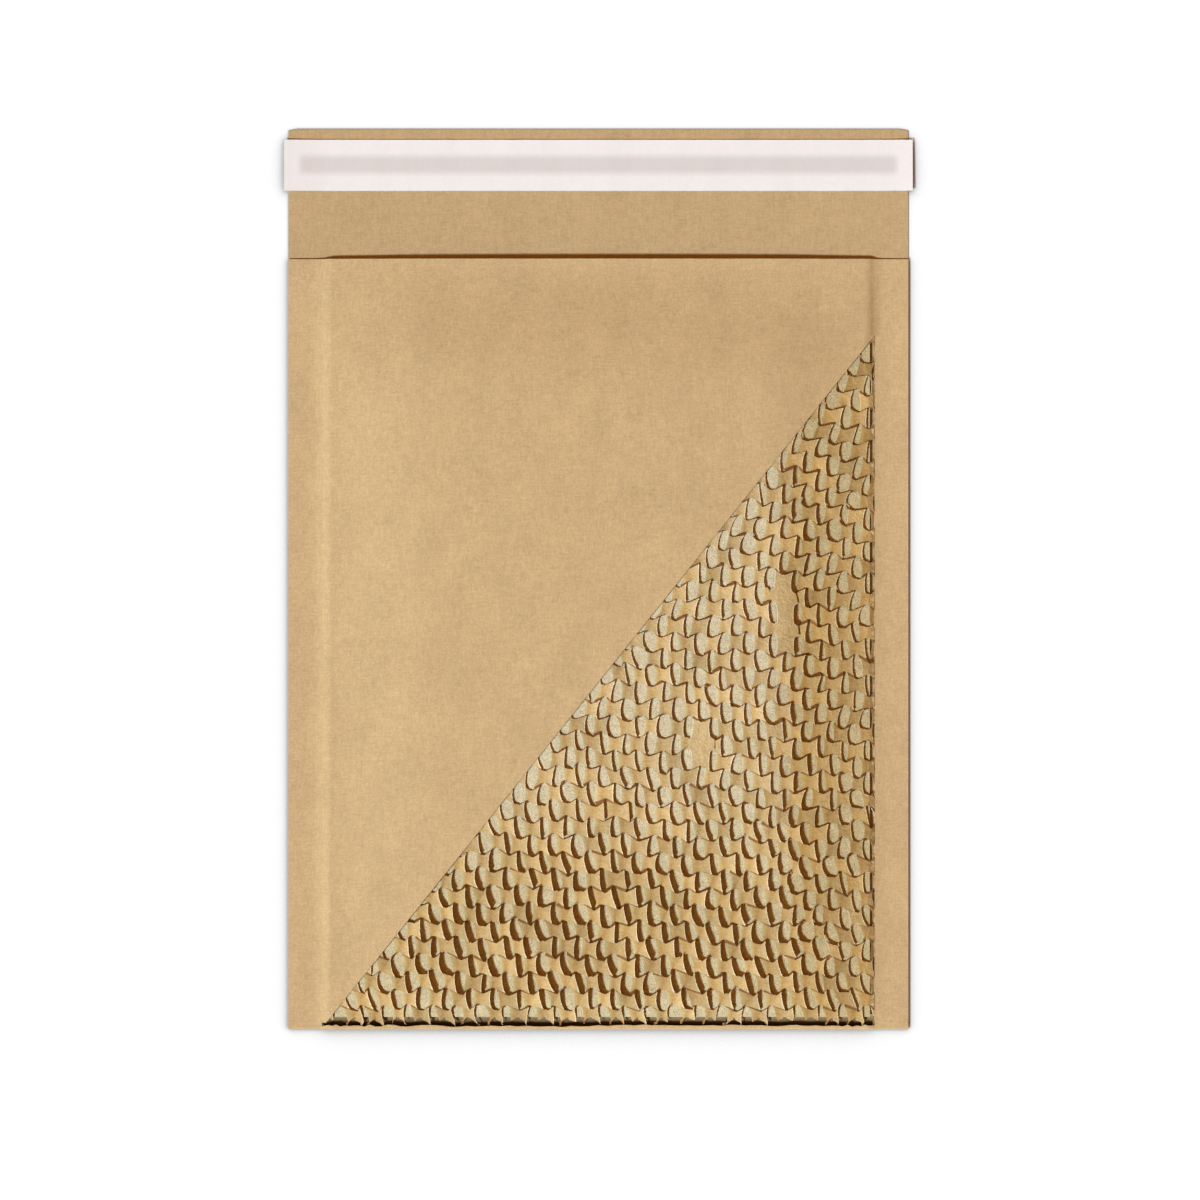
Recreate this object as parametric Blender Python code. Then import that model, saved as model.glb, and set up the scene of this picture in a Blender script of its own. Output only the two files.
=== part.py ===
"""Padded paper envelope with a triangular window in its front panel.

The envelope lies on its back panel on Z = 0. X runs across it, Y runs from the bottom fold to the
flap's tip, and the origin is under the middle of its outline. Every length is in metres.

From the floor up its layers are the back panel, the back pad, the back leaf of the inner liner, the
open pocket, the front leaf of the liner, the front pad and the front panel. The two panels and the
flap are one kraft sheet, folded along the bottom. Its side margins are glued together.
"""

import math
from bisect import bisect_right

import bmesh
import bpy

# Outer kraft sheet
BODY_WIDTH = 0.2400
BODY_LENGTH = 0.2980
FLAP_LENGTH = 0.0505
KRAFT_WALL = 0.00025
SEAM_WIDTH = 0.0130
FLAP_NIP_ACROSS = 0.0023
FLAP_NIP_DOWN = 0.0006

# Window cut through the front panel, from the right seam's crease down to the left end of the fold
WINDOW_DROP = 0.0293
FOLD_STEPS = 6
LIP_STEPS = 4

# Clearance between one layer and the next
GAP = 0.00025

# Glue in the side margins
GLUE_THICKNESS = 0.00015
GLUE_INSET = 0.0025
GLUE_END_INSET = 0.0040

# Honeycomb pads, squeezed thinner along the seams and the fold
PAD_THICKNESS = 0.0023
PAD_EDGE_THICKNESS = 0.0010
PAD_EDGE_EASE = 0.0120
PAD_SIDE_INSET = 0.0020
PAD_BOTTOM_INSET = 0.0026
PAD_MOUTH_INSET = 0.0030
PAD_BASE = 0.0004

# Honeycomb lattice of the front pad
CELL_PITCH = 0.0093
ROW_PITCH = 0.0067
LAND_WIDTH = 0.0056
LAND_LENGTH = 0.0052
RISER_RUN = 0.00025
ROW_SAG = 0.0125
CELL_LEAN = 0.24
LAND_WIDTH_SCATTER = 0.14
LAND_PLACE_SCATTER = 0.0003
WINDOW_MARGIN = 0.0080

# Places, from the envelope's middle, where the comb never opened and where it tore wide open
FLAT_SPOTS = [(0.0684, -0.0043), (0.0684, -0.0217), (0.0355, -0.0662)]
FLAT_RADIUS = 0.0048
OPEN_SPOTS = [(0.0745, -0.1125), (0.0800, -0.1350), (0.0870, -0.1450)]
OPEN_RADIUS = 0.0120
OPEN_LAND_SHARE = 0.62
TIGHT_SPOTS = [(0.0050, -0.0900), (0.0065, -0.1200), (0.0060, -0.1400)]
TIGHT_RADIUS = 0.0110
TIGHT_LAND_SHARE = 1.35

# Inner liner, one sheet folded into a pocket
LINER_WALL = 0.00015
LINER_BOTTOM_INSET = 0.0010
LINER_MOUTH_INSET = 0.0015
POCKET_HEIGHT = 0.0064
POCKET_CROWN = 3.0
POCKET_MOUTH_SHARE = 0.76

# Flap closure
ADHESIVE_LENGTH = 0.2316
ADHESIVE_WIDTH = 0.0072
ADHESIVE_THICKNESS = 0.00012
RELEASE_OVERHANG = 0.0016
RELEASE_WIDTH = 0.0198
RELEASE_WALL = 0.00014
RELEASE_FROM_TIP = 0.0042
RELEASE_CURL = 0.0011
RELEASE_CURL_LENGTH = 0.0240

# Widest spacing of the lines that shape the curved layers, and the least near a cut
STATION_STEP = 0.0220
LEAST_SPAN = 0.0015

HALF_WIDTH = BODY_WIDTH / 2
HALF_INSIDE = HALF_WIDTH - SEAM_WIDTH
BOTTOM_Y = -(BODY_LENGTH + FLAP_LENGTH) / 2
MOUTH_Y = BOTTOM_Y + BODY_LENGTH
TIP_Y = MOUTH_Y + FLAP_LENGTH
APEX_Y = MOUTH_Y - WINDOW_DROP
SEAM_TOP = 2 * KRAFT_WALL + GLUE_THICKNESS + 2 * GAP
WINDOW_FOOT_Y = BOTTOM_Y + SEAM_TOP / 2

PAD_HALF = HALF_INSIDE - PAD_SIDE_INSET
PAD_BOTTOM_Y = BOTTOM_Y + PAD_BOTTOM_INSET
PAD_TOP_Y = MOUTH_Y - PAD_MOUTH_INSET
PAD_LENGTH = PAD_TOP_Y - PAD_BOTTOM_Y


def limit(value, low, high):
    return max(low, min(high, value))


def ease(value):
    """A smooth step from 0 to 1."""
    t = limit(value, 0.0, 1.0)
    return t * t * (3 - 2 * t)


def scatter(row, column, salt):
    """A repeatable number from -1 to 1 for one place of the lattice."""
    value = math.sin(row * 12.9898 + column * 78.233 + salt * 37.719) * 43758.5453
    return 2 * (value - math.floor(value)) - 1


def near(spots, radius, x, y):
    """1 on a spot, falling smoothly to 0 at its radius."""
    return max(ease(2 - 2 * math.dist((x, y), spot) / radius) for spot in spots)


def even_stations(start, end):
    """Stations from start to end, at most STATION_STEP apart."""
    count = max(1, math.ceil((end - start) / STATION_STEP))
    return [start + (end - start) * i / count for i in range(count + 1)]


def across_stations():
    """X stations shared by every padded layer: close along the squeezed edges, wide between them."""
    inner = PAD_HALF - PAD_EDGE_EASE
    middle = even_stations(0.0, inner)
    right = middle[1:] + [PAD_HALF - PAD_EDGE_EASE / 2, PAD_HALF]
    return [-x for x in reversed(right)] + [0.0] + right


def along_stations():
    """Y stations shared by every padded layer, from the fold to the mouth."""
    squeezed = [PAD_BOTTOM_Y, PAD_BOTTOM_Y + PAD_EDGE_EASE / 2]
    return squeezed + even_stations(PAD_BOTTOM_Y + PAD_EDGE_EASE, PAD_TOP_Y)


XS = across_stations()
YS = along_stations()


def pad_depth(x, y):
    """Thickness of one pad."""
    inside = min(PAD_HALF - abs(x), y - PAD_BOTTOM_Y)
    return PAD_EDGE_THICKNESS + (PAD_THICKNESS - PAD_EDGE_THICKNESS) * ease(inside / PAD_EDGE_EASE)


def pocket_depth(x, y):
    """Height of the open pocket: a crown across, rising from the fold and a little lower at the mouth."""
    along = (y - PAD_BOTTOM_Y) / PAD_LENGTH
    crown = 1 - abs(x / PAD_HALF) ** POCKET_CROWN
    rise = 1 - (1 - along) ** 3
    mouth = 1 - (1 - POCKET_MOUTH_SHARE) * along ** 4
    return POCKET_HEIGHT * crown * rise * mouth


def shared(depth, x, y):
    """Reads a depth between the shared stations, so that facets of neighbouring layers stay parallel."""
    x = limit(x, -PAD_HALF, PAD_HALF)
    y = limit(y, PAD_BOTTOM_Y, PAD_TOP_Y)
    i = int(limit(bisect_right(XS, x) - 1, 0, len(XS) - 2))
    j = int(limit(bisect_right(YS, y) - 1, 0, len(YS) - 2))
    u = (x - XS[i]) / (XS[i + 1] - XS[i])
    v = (y - YS[j]) / (YS[j + 1] - YS[j])
    near_row = depth(XS[i], YS[j]) * (1 - u) + depth(XS[i + 1], YS[j]) * u
    far_row = depth(XS[i], YS[j + 1]) * (1 - u) + depth(XS[i + 1], YS[j + 1]) * u
    return near_row * (1 - v) + far_row * v


def back_pad_low(x, y):
    return KRAFT_WALL + GAP


def back_pad_high(x, y):
    return back_pad_low(x, y) + shared(pad_depth, x, y)


def liner_back(x, y):
    """Outer face of the liner's back leaf."""
    return back_pad_high(x, y) + GAP


def liner_front(x, y):
    """Outer face of the liner's front leaf."""
    return liner_back(x, y) + 2 * LINER_WALL + GAP + shared(pocket_depth, x, y)


def front_pad_low(x, y):
    return liner_front(x, y) + GAP


def front_pad_high(x, y):
    return front_pad_low(x, y) + shared(pad_depth, x, y)


def front_panel(x, y):
    """Outer face of the front panel: flat on the glued margins, then up over the pad."""
    over_pad = front_pad_high(x, y) + GAP + KRAFT_WALL
    climb = limit((HALF_INSIDE - abs(x)) / PAD_SIDE_INSET, 0.0, 1.0)
    return SEAM_TOP + (over_pad - SEAM_TOP) * climb


def window_edge(y):
    """X of the window's slanted edge."""
    share = (y - WINDOW_FOOT_Y) / (APEX_Y - WINDOW_FOOT_Y)
    return -HALF_INSIDE + 2 * HALF_INSIDE * share


def band(mesh, first, second, axis=0):
    """Joins two rows of vertices, both sorted along an axis, with a strip of triangles.

    Where the rows keep step, a square is split along its higher diagonal, in every layer alike.
    """
    i = j = 0
    while i < len(first) - 1 or j < len(second) - 1:
        step_first = j == len(second) - 1
        if not step_first and i < len(first) - 1:
            lead = first[i].co[axis] + first[i + 1].co[axis] - second[j].co[axis] - second[j + 1].co[axis]
            if abs(lead) < LEAST_SPAN / 10:
                step_first = first[i + 1].co.z + second[j].co.z > first[i].co.z + second[j + 1].co.z
            else:
                step_first = lead < 0
        if step_first:
            mesh.faces.new((first[i], first[i + 1], second[j]))
            i += 1
        else:
            mesh.faces.new((first[i], second[j + 1], second[j]))
            j += 1


def row_of(mesh, points):
    return [mesh.verts.new(point) for point in points]


def bands(mesh, rows):
    for first, second in zip(rows, rows[1:]):
        band(mesh, first, second)


def material(name, colour, roughness):
    made = bpy.data.materials.new(name)
    made.use_nodes = True
    shader = made.node_tree.nodes["Principled BSDF"]
    shader.inputs["Base Color"].default_value = (*colour, 1.0)
    shader.inputs["Roughness"].default_value = roughness
    shader.inputs["Metallic"].default_value = 0.0
    return made


def place(name, mesh, surface, parent):
    """Turns a bmesh into a named object of the envelope."""
    data = bpy.data.meshes.new(name)
    mesh.to_mesh(data)
    mesh.free()
    data.materials.append(surface)
    piece = bpy.data.objects.new(name, data)
    piece.parent = parent
    bpy.context.scene.collection.objects.link(piece)
    return piece


def thicken(piece, wall):
    """Gives an open surface its wall, on the inner side."""
    solid = piece.modifiers.new("wall", "SOLIDIFY")
    solid.thickness = wall
    solid.offset = -1
    solid.use_even_offset = True


def close_slab(mesh, low_rows, high_rows):
    """Closes the solid between a lower and an upper stack of rows, both sorted by Y."""
    bands(mesh, high_rows)
    bands(mesh, low_rows[::-1])
    band(mesh, low_rows[0], high_rows[0])
    band(mesh, high_rows[-1], low_rows[-1])
    band(mesh, [row[-1] for row in low_rows], [row[-1] for row in high_rows], axis=1)
    band(mesh, [row[0] for row in high_rows], [row[0] for row in low_rows], axis=1)


def fold_rows(mesh):
    """Rows round the bottom fold, from the back panel up. Past the lip only the margins go on."""
    margins = [-HALF_WIDTH, -HALF_INSIDE], [HALF_INSIDE, HALF_WIDTH]
    rows = []
    for step in range(FOLD_STEPS + 1):
        angle = math.pi * step / FOLD_STEPS
        parts = [margins[0] + XS + margins[1]] if step <= LIP_STEPS else margins
        row = []
        for xs in parts:
            points = []
            for x in xs:
                radius = front_panel(x, PAD_BOTTOM_Y) / 2
                y = BOTTOM_Y + radius * (1 - math.sin(angle))
                points.append((x, y, radius * (1 - math.cos(angle))))
            row.append(row_of(mesh, points))
        rows.append(row)
    return rows


def front_rows(mesh):
    """Rows of the front panel above the fold. Beside the window each is in two parts."""
    rise = (APEX_Y - WINDOW_FOOT_Y) / (2 * HALF_INSIDE)
    window = [WINDOW_FOOT_Y + (x + HALF_INSIDE) * rise for x in XS] + [APEX_Y]
    heights = [y for y in YS if min(abs(y - line) for line in window) > LEAST_SPAN]
    rows = []
    for y in sorted(heights + window + [MOUTH_Y]):
        stations = [-HALF_WIDTH, -HALF_INSIDE] + XS + [HALF_INSIDE, HALF_WIDTH]
        if y < APEX_Y:
            edge = window_edge(y)
            left = [x for x in stations if x < edge - LEAST_SPAN] + [edge]
            parts = [left, [HALF_INSIDE, HALF_WIDTH]]
        else:
            parts = [stations]
        rows.append([row_of(mesh, [(x, y, front_panel(x, y)) for x in xs]) for xs in parts])
    return rows


def split_row(whole, cut):
    """The two parts of a whole row, up to a vertex at the left of the cut and from one at its right."""
    left = [vertex for vertex in whole if vertex.co.x < cut[0] + LEAST_SPAN / 2]
    right = [vertex for vertex in whole if vertex.co.x > cut[1] - LEAST_SPAN / 2]
    return [left, right]


def make_outer_sheet(surface, parent):
    """Flap, back panel, bottom fold and windowed front panel, folded from one sheet."""
    mesh = bmesh.new()
    nip = HALF_WIDTH - FLAP_NIP_ACROSS
    tip = row_of(mesh, [(-nip, TIP_Y, 0.0), (nip, TIP_Y, 0.0)])
    corners = row_of(mesh, [(x, TIP_Y - FLAP_NIP_DOWN, 0.0) for x in (-HALF_WIDTH, HALF_WIDTH)])
    middle = row_of(mesh, [(x, MOUTH_Y, 0.0) for x in (-HALF_WIDTH, 0.0, HALF_WIDTH)])
    fold = fold_rows(mesh)
    front = front_rows(mesh)
    whole_fold = [row[0] for row in fold if len(row) == 1]
    split_fold = [split_row(whole_fold[-1], (-HALF_INSIDE, HALF_INSIDE))]
    split_fold += [row for row in fold if len(row) == 2]
    whole_front = [row[0] for row in front if len(row) == 1]
    split_front = [row for row in front if len(row) == 2]
    split_front.append([whole_front[0][:-1], whole_front[0][-2:]])
    bands(mesh, [tip, corners, middle] + whole_fold)
    for side in (0, 1):
        bands(mesh, [row[side] for row in split_fold + split_front])
    bands(mesh, whole_front)
    sheet = place("outer_sheet", mesh, surface, parent)
    thicken(sheet, KRAFT_WALL)
    return sheet


def plain_rows(mesh, height):
    return [row_of(mesh, [(x, y, height(x, y)) for x in XS]) for y in YS]


def make_back_pad(surface, parent):
    """The pad behind the pocket, closed in on every side, so its faces are plain."""
    mesh = bmesh.new()
    close_slab(mesh, plain_rows(mesh, back_pad_low), plain_rows(mesh, back_pad_high))
    return place("honeycomb_pad_back", mesh, surface, parent)


def sagged(x, y):
    """Y of a row of cells at x: rows hang lower toward the right seam, more so near the mouth."""
    across = (x + PAD_HALF) / (2 * PAD_HALF)
    along = (y - PAD_BOTTOM_Y) / PAD_LENGTH
    return y - ROW_SAG * across ** 2 * along


def land_points(row, column, shift):
    """One land of the comb on a line at shift from its row's middle, as (x, y, share of the depth).

    A land rises from its left edge on the comb's floor to its right edge, which drops to the floor.
    """
    y = PAD_BOTTOM_Y + LAND_LENGTH / 2 + row * ROW_PITCH
    x = -PAD_HALF + (column + 0.5 * (row % 2)) * CELL_PITCH
    x += LAND_PLACE_SCATTER * scatter(row, column, 1)
    width = LAND_WIDTH * (1 + LAND_WIDTH_SCATTER * scatter(row, column, 2))
    place_y = sagged(x, y)
    width *= 1 + (OPEN_LAND_SHARE - 1) * near(OPEN_SPOTS, OPEN_RADIUS, x, place_y)
    width *= 1 + (TIGHT_LAND_SHARE - 1) * near(TIGHT_SPOTS, TIGHT_RADIUS, x, place_y)
    lean = CELL_LEAN * ease((y - PAD_BOTTOM_Y) / PAD_LENGTH) * shift
    points = []
    for offset, share in ((-width / 2, 0.0), (width / 2, 1.0), (width / 2 + RISER_RUN, 0.0)):
        px = x + offset + lean
        py = sagged(px, y + shift)
        flat = near(FLAT_SPOTS, FLAT_RADIUS, px, py)
        points.append((px, py, max(share, flat)))
    return points


def comb_line(row, shift):
    """A line of the front pad's top face: lands and cells in the window, plain beside it."""
    level = PAD_BOTTOM_Y + LAND_LENGTH / 2 + row * ROW_PITCH + shift
    lands = []
    if sagged(PAD_HALF, level) < APEX_Y + WINDOW_MARGIN:
        for column in range(1, math.floor(2 * PAD_HALF / CELL_PITCH) + 1):
            points = land_points(row, column, shift)
            bared = points[0][0] > window_edge(points[0][1]) - WINDOW_MARGIN
            within = points[0][0] > LEAST_SPAN - PAD_HALF and points[-1][0] < PAD_HALF - LEAST_SPAN
            if bared and within:
                lands += points
    first = lands[0][0] if lands else PAD_HALF
    plain = [x for x in XS if x < first - LEAST_SPAN]
    if plain[-1] != PAD_HALF:
        lands.append((PAD_HALF, sagged(PAD_HALF, level), 1.0))
    return [(x, sagged(x, level), 1.0) for x in plain] + lands


def make_front_pad(surface, parent):
    """The pad that the window bares: rows of tilted lands and open cells, offset by half a pitch."""
    mesh = bmesh.new()
    low_rows = plain_rows(mesh, front_pad_low)
    high_rows = []
    for row in range(math.floor((PAD_LENGTH - LAND_LENGTH) / ROW_PITCH)):
        for shift in (-LAND_LENGTH / 2, LAND_LENGTH / 2):
            points = []
            for x, y, share in comb_line(row, shift):
                low, high = front_pad_low(x, y), front_pad_high(x, y)
                floor = low + PAD_BASE
                points.append((x, y, floor + (high - floor) * share))
            high_rows.append(row_of(mesh, points))
    high_rows.append(row_of(mesh, [(x, PAD_TOP_Y, front_pad_high(x, PAD_TOP_Y)) for x in XS]))
    close_slab(mesh, low_rows, high_rows)
    return place("honeycomb_pad_front", mesh, surface, parent)


def make_inner_liner(surface, parent):
    """One sheet of thin paper, down the back of the pocket, round its foot and up the front."""
    mesh = bmesh.new()
    foot_y = PAD_BOTTOM_Y + LINER_BOTTOM_INSET
    ys = [y for y in YS if foot_y + LEAST_SPAN < y < MOUTH_Y - LINER_MOUTH_INSET]
    ys.append(MOUTH_Y - LINER_MOUTH_INSET)
    back = [row_of(mesh, [(x, y, liner_back(x, y)) for x in XS]) for y in reversed(ys)]
    fold = []
    for step in range(FOLD_STEPS + 1):
        angle = math.pi * step / FOLD_STEPS
        points = []
        for x in XS:
            low, high = liner_back(x, foot_y), liner_front(x, foot_y)
            radius = (high - low) / 2
            y = foot_y + radius * (1 - math.sin(angle))
            points.append((x, y, low + radius * (1 - math.cos(angle))))
        fold.append(row_of(mesh, points))
    front = [row_of(mesh, [(x, y, liner_front(x, y)) for x in XS]) for y in ys]
    bands(mesh, back + fold + front)
    liner = place("inner_liner", mesh, surface, parent)
    thicken(liner, LINER_WALL)
    return liner


def round_ended(length, width):
    """Outline of a straight bead along X with round ends."""
    steps = 6
    centre = (length - width) / 2
    outline = []
    for side in (1, -1):
        for step in range(steps + 1):
            angle = math.pi * (step / steps - 0.5)
            x = side * (centre + width / 2 * math.cos(angle))
            outline.append((x, side * width / 2 * math.sin(angle)))
    return outline


def make_bead(name, outline, place_at, thickness, surface, parent):
    """A flat bead of glue: an outline extruded up by its thickness."""
    mesh = bmesh.new()
    face = mesh.faces.new(row_of(mesh, [(x, y, 0.0) for x, y in outline]))
    raised = bmesh.ops.extrude_face_region(mesh, geom=[face])["geom"]
    top = [item for item in raised if isinstance(item, bmesh.types.BMVert)]
    bmesh.ops.translate(mesh, verts=top, vec=(0.0, 0.0, thickness))
    bmesh.ops.recalc_face_normals(mesh, faces=mesh.faces[:])
    bead = place(name, mesh, surface, parent)
    bead.location = place_at
    return bead


def make_seam_glue(surface, parent):
    """One line of glue up each side margin."""
    outline = round_ended(BODY_LENGTH - 2 * GLUE_END_INSET, SEAM_WIDTH - 2 * GLUE_INSET)
    outline = [(-y, x) for x, y in outline]
    beads = []
    for name, side in (("seam_glue_left", -1), ("seam_glue_right", 1)):
        centre = side * (HALF_INSIDE + SEAM_WIDTH / 2), (BOTTOM_Y + MOUTH_Y) / 2, KRAFT_WALL + GAP
        beads.append(make_bead(name, outline, centre, GLUE_THICKNESS, surface, parent))
    return beads


def make_adhesive(surface, parent):
    """The flap's own line of adhesive, under the release strip."""
    outline = round_ended(ADHESIVE_LENGTH, ADHESIVE_WIDTH)
    centre = 0.0, TIP_Y - RELEASE_FROM_TIP - RELEASE_WIDTH / 2, KRAFT_WALL + GAP
    return make_bead("adhesive_strip", outline, centre, ADHESIVE_THICKNESS, surface, parent)


def make_release_strip(surface, parent):
    """The strip that covers the adhesive, a little longer than the flap and curling up at its ends."""
    mesh = bmesh.new()
    half = HALF_WIDTH + RELEASE_OVERHANG
    curl_steps = 4
    curled = [half - RELEASE_CURL_LENGTH * (1 - i / curl_steps) for i in range(curl_steps + 1)]
    xs = [-x for x in reversed(curled)] + curled
    high = KRAFT_WALL + GAP + ADHESIVE_THICKNESS + GAP + RELEASE_WALL
    rows = []
    for y in (TIP_Y - RELEASE_FROM_TIP - RELEASE_WIDTH, TIP_Y - RELEASE_FROM_TIP):
        points = []
        for x in xs:
            lift = max(0.0, 1 - (half - abs(x)) / RELEASE_CURL_LENGTH)
            points.append((x, y, high + RELEASE_CURL * lift ** 2))
        rows.append(row_of(mesh, points))
    bands(mesh, rows)
    strip = place("release_strip", mesh, surface, parent)
    thicken(strip, RELEASE_WALL)
    return strip


def main():
    for item in list(bpy.data.objects):
        bpy.data.objects.remove(item)
    envelope = bpy.data.objects.new("envelope", None)
    bpy.context.scene.collection.objects.link(envelope)
    make_outer_sheet(material("kraft_paper", (0.63, 0.44, 0.22), 0.85), envelope)
    make_front_pad(material("honeycomb_paper", (0.58, 0.42, 0.22), 0.85), envelope)
    make_back_pad(material("back_honeycomb_paper", (0.52, 0.37, 0.19), 0.85), envelope)
    make_inner_liner(material("liner_paper", (0.50, 0.45, 0.36), 0.9), envelope)
    make_seam_glue(material("seam_glue", (0.72, 0.66, 0.52), 0.5), envelope)
    make_adhesive(material("flap_adhesive", (0.75, 0.70, 0.66), 0.35), envelope)
    make_release_strip(material("release_paper", (0.88, 0.86, 0.85), 0.45), envelope)


main()
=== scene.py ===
"""Looks of the padded envelope: kraft sheet, bared honeycomb paper, liner and covered flap.

The envelope lies on its back panel on Z = 0, X across it and Y toward the flap. Every length is in
metres. Surfaces are worked out with numpy on grids, from the frame's outline and the sizes below.
"""

import math

import bmesh
import bpy
import numpy as np
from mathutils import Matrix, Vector


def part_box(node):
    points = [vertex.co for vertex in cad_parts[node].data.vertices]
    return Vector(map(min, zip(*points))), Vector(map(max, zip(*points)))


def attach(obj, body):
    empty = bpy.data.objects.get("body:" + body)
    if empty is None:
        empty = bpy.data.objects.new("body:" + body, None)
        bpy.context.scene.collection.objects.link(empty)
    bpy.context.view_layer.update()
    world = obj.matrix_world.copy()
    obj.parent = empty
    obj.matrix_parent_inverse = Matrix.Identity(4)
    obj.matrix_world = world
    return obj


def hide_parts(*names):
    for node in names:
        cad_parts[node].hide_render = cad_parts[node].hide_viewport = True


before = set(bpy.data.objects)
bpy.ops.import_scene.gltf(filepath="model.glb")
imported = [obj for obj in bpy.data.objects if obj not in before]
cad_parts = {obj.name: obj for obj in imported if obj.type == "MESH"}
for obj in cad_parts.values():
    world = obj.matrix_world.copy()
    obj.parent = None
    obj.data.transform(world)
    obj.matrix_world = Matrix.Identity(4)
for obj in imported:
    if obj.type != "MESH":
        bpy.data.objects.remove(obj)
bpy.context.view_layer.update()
sheet_low, sheet_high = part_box("outer_sheet")
pad_low, pad_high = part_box("honeycomb_pad_front")
strip_low, strip_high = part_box("release_strip")
tack_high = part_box("adhesive_strip")[1]

# Outline, read from the frame
HALF_WIDTH = float(sheet_high[0])
BOTTOM_Y = float(sheet_low[1])
TIP_Y = float(sheet_high[1])
PAD_HALF = float(pad_high[0])
PAD_BOTTOM_Y = float(pad_low[1])
PAD_TOP_Y = float(pad_high[1])
PAD_LENGTH = PAD_TOP_Y - PAD_BOTTOM_Y

# Sheet
PAD_SIDE_INSET = 0.0020
PAD_MOUTH_INSET = 0.0030
HALF_INSIDE = PAD_HALF + PAD_SIDE_INSET
MOUTH_Y = PAD_TOP_Y + PAD_MOUTH_INSET
WINDOW_DROP = 0.0293
APEX_Y = MOUTH_Y - WINDOW_DROP
KRAFT = 0.00022
FLAP_NIP_ACROSS = 0.0023
FLAP_NIP_DOWN = 0.0006
SEAM_TOP = 0.00115
CREASE_RUN = 0.0034
CREASE_OUTSIDE = 0.0014
LIP_ANGLE = math.radians(150)
LIP_LENGTH = 0.0008
LIP_RAG = 0.0003
LIP_RAG_WAVES = ((1.0, 1900, 0.0), (0.7, 4700, 1.3))
LIP_RISE = 0.0001
# Painted shade: between these heights above the bottom edge the inner sheet is painted near-black, where
# the fold's inside lies in shade.
PAINTED_FOLD_SHADE_FROM = 0.002
PAINTED_FOLD_SHADE_TO = 0.006

# Layers over the back panel
GAP = 0.00010
SOLID_KRAFT = 0.00025
SOLID_LINER = 0.00015
LINER = 0.00012
PAD_THICKNESS = 0.0031
PAD_EDGE_THICKNESS = 0.0007
PAD_EDGE_EASE = 0.0110
PAD_SIDE_SHARE = 0.20
PAD_SIDE_EASE = 0.0420
PAD_MOUTH_SHARE = 0.12
PAD_MOUTH_RUN = 0.045
POCKET_HEIGHT = 0.0054
POCKET_CROWN = 2.1
POCKET_MOUTH_SHARE = 0.12
LINER_BOTTOM_INSET = 0.0020
LINER_MOUTH_INSET = 0.0015
LINER_FOLD_RUN = 0.0006
LINER_FOLD_BULGE = 0.0004

# Honeycomb
CELL_PITCH = 0.0093
ROW_PITCH = 0.0067
STEP = CELL_PITCH / 2
LAND_WIDTH = 0.0053
LAND_LENGTH = 0.0054
STRAND_WIDTH = 0.0033
HOLE_HALF = 0.0039
HOLE_SQUARENESS = 2.4
TURN_FROM = 0.00288
TURN_TO = 0.00384
FINE_LINES = (0.0, 0.0017, 0.0028, 0.00286, 0.0030, 0.00335, 0.0037, 0.00384, 0.0039, 0.0050)
COARSE_LINES = (0.0, 0.00285, 0.00385)
LEAST_STRAND = 0.16
TIP_SHORTEST = 0.0024
TIP_LONGEST = 0.0040
TIP_TAPER = 0.0015
TIP_NOTCH = 0.0020
NOTCH_FROM = 0.0008
NOTCH_RUN = 0.0022
CUT_SHOWN = 0.0006
COMB_SIDE_GAP = 0.0003
STOOD_FOOT = 0.45
HIGHEST_FOOT = 0.85
TOP_SHARE = 0.90
TOP_SCATTER = 0.10
MIDDLE_SHARE = 0.56
MIDDLE_SCATTER = 0.08
SHUT_HEIGHT = 0.93
SHUT_WIDTH = 0.97
WAIST = 0.00070
ROW_SAG = 0.0125
LEAN_AT_FOLD = -0.20
LEAN_AT_MOUTH = 0.26
LEAN_SCATTER = 0.19
LAND_WIDTH_SCATTER = 0.25
LAND_PLACE_SCATTER = 0.0008
EDGE_SCATTER = 0.00055
LAND_BEND = 0.65
DRIFT = 0.0008
LONG_DRIFT = (0.047, 0.091)
SHORT_DRIFT = (0.023, 0.061)
SLIT_PAPER = 0.00015
LEAST_PAD = 0.00065
BARED_MARGIN = 0.006
BACK_COMB_INSET = 0.0015
RIGHT_FROM = 0.072
RIGHT_RUN = 0.016
RIGHT_STAND = 0.30
LEAST_RELIEF = 0.54
SLANT_RELIEF = 0.55
SLANT_RUN = 0.012
SLANT_CURL = 0.0003
SLANT_CURL_RUN = 0.004
SLANT_CURL_FADE = 0.010
OPEN_BELOW_Y = -0.075
OPEN_RUN_Y = 0.050
OPEN_RIGHT_X = 0.066
OPEN_RUN_X = 0.014
FLAT_SPOTS = [(0.0684, -0.0043), (0.0684, -0.0217), (0.0355, -0.0662)]
OPEN_SPOTS = [(0.0745, -0.1125), (0.0800, -0.1350), (0.0870, -0.1450)]
OPEN_RADIUS = 0.0120
OPEN_LAND_SHARE = 0.62
TIGHT_SPOTS = [(0.0050, -0.0900), (0.0065, -0.1200), (0.0060, -0.1400)]
TIGHT_RADIUS = 0.0110
TIGHT_LAND_SHARE = 1.35

# Release strip, and the adhesive's band that shows through it
RELEASE_CURL = 0.0009
RELEASE_CURL_LENGTH = 0.0240
RELEASE_LIFT = 0.00009
RELEASE_WALL = 0.00012
RELEASE_WAVES = ((0.00003, 0.031, 2.0), (0.00002, 0.013, 0.0))
BAND_Y = 0.1604
BAND_HALF_LENGTH = 0.1155
BAND_HALF_WIDTH = 0.0034
BAND_SOFT = 0.0018

# Photograph and camera
PHOTO_PIXELS = 1200
METRES_PER_PIXEL = 0.00038741
PHOTO_MIDDLE_X = 598.4
PHOTO_MIDDLE_Y = 579.0
CAMERA_HEIGHT = 1.30
SENSOR_MM = 36.0

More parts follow.
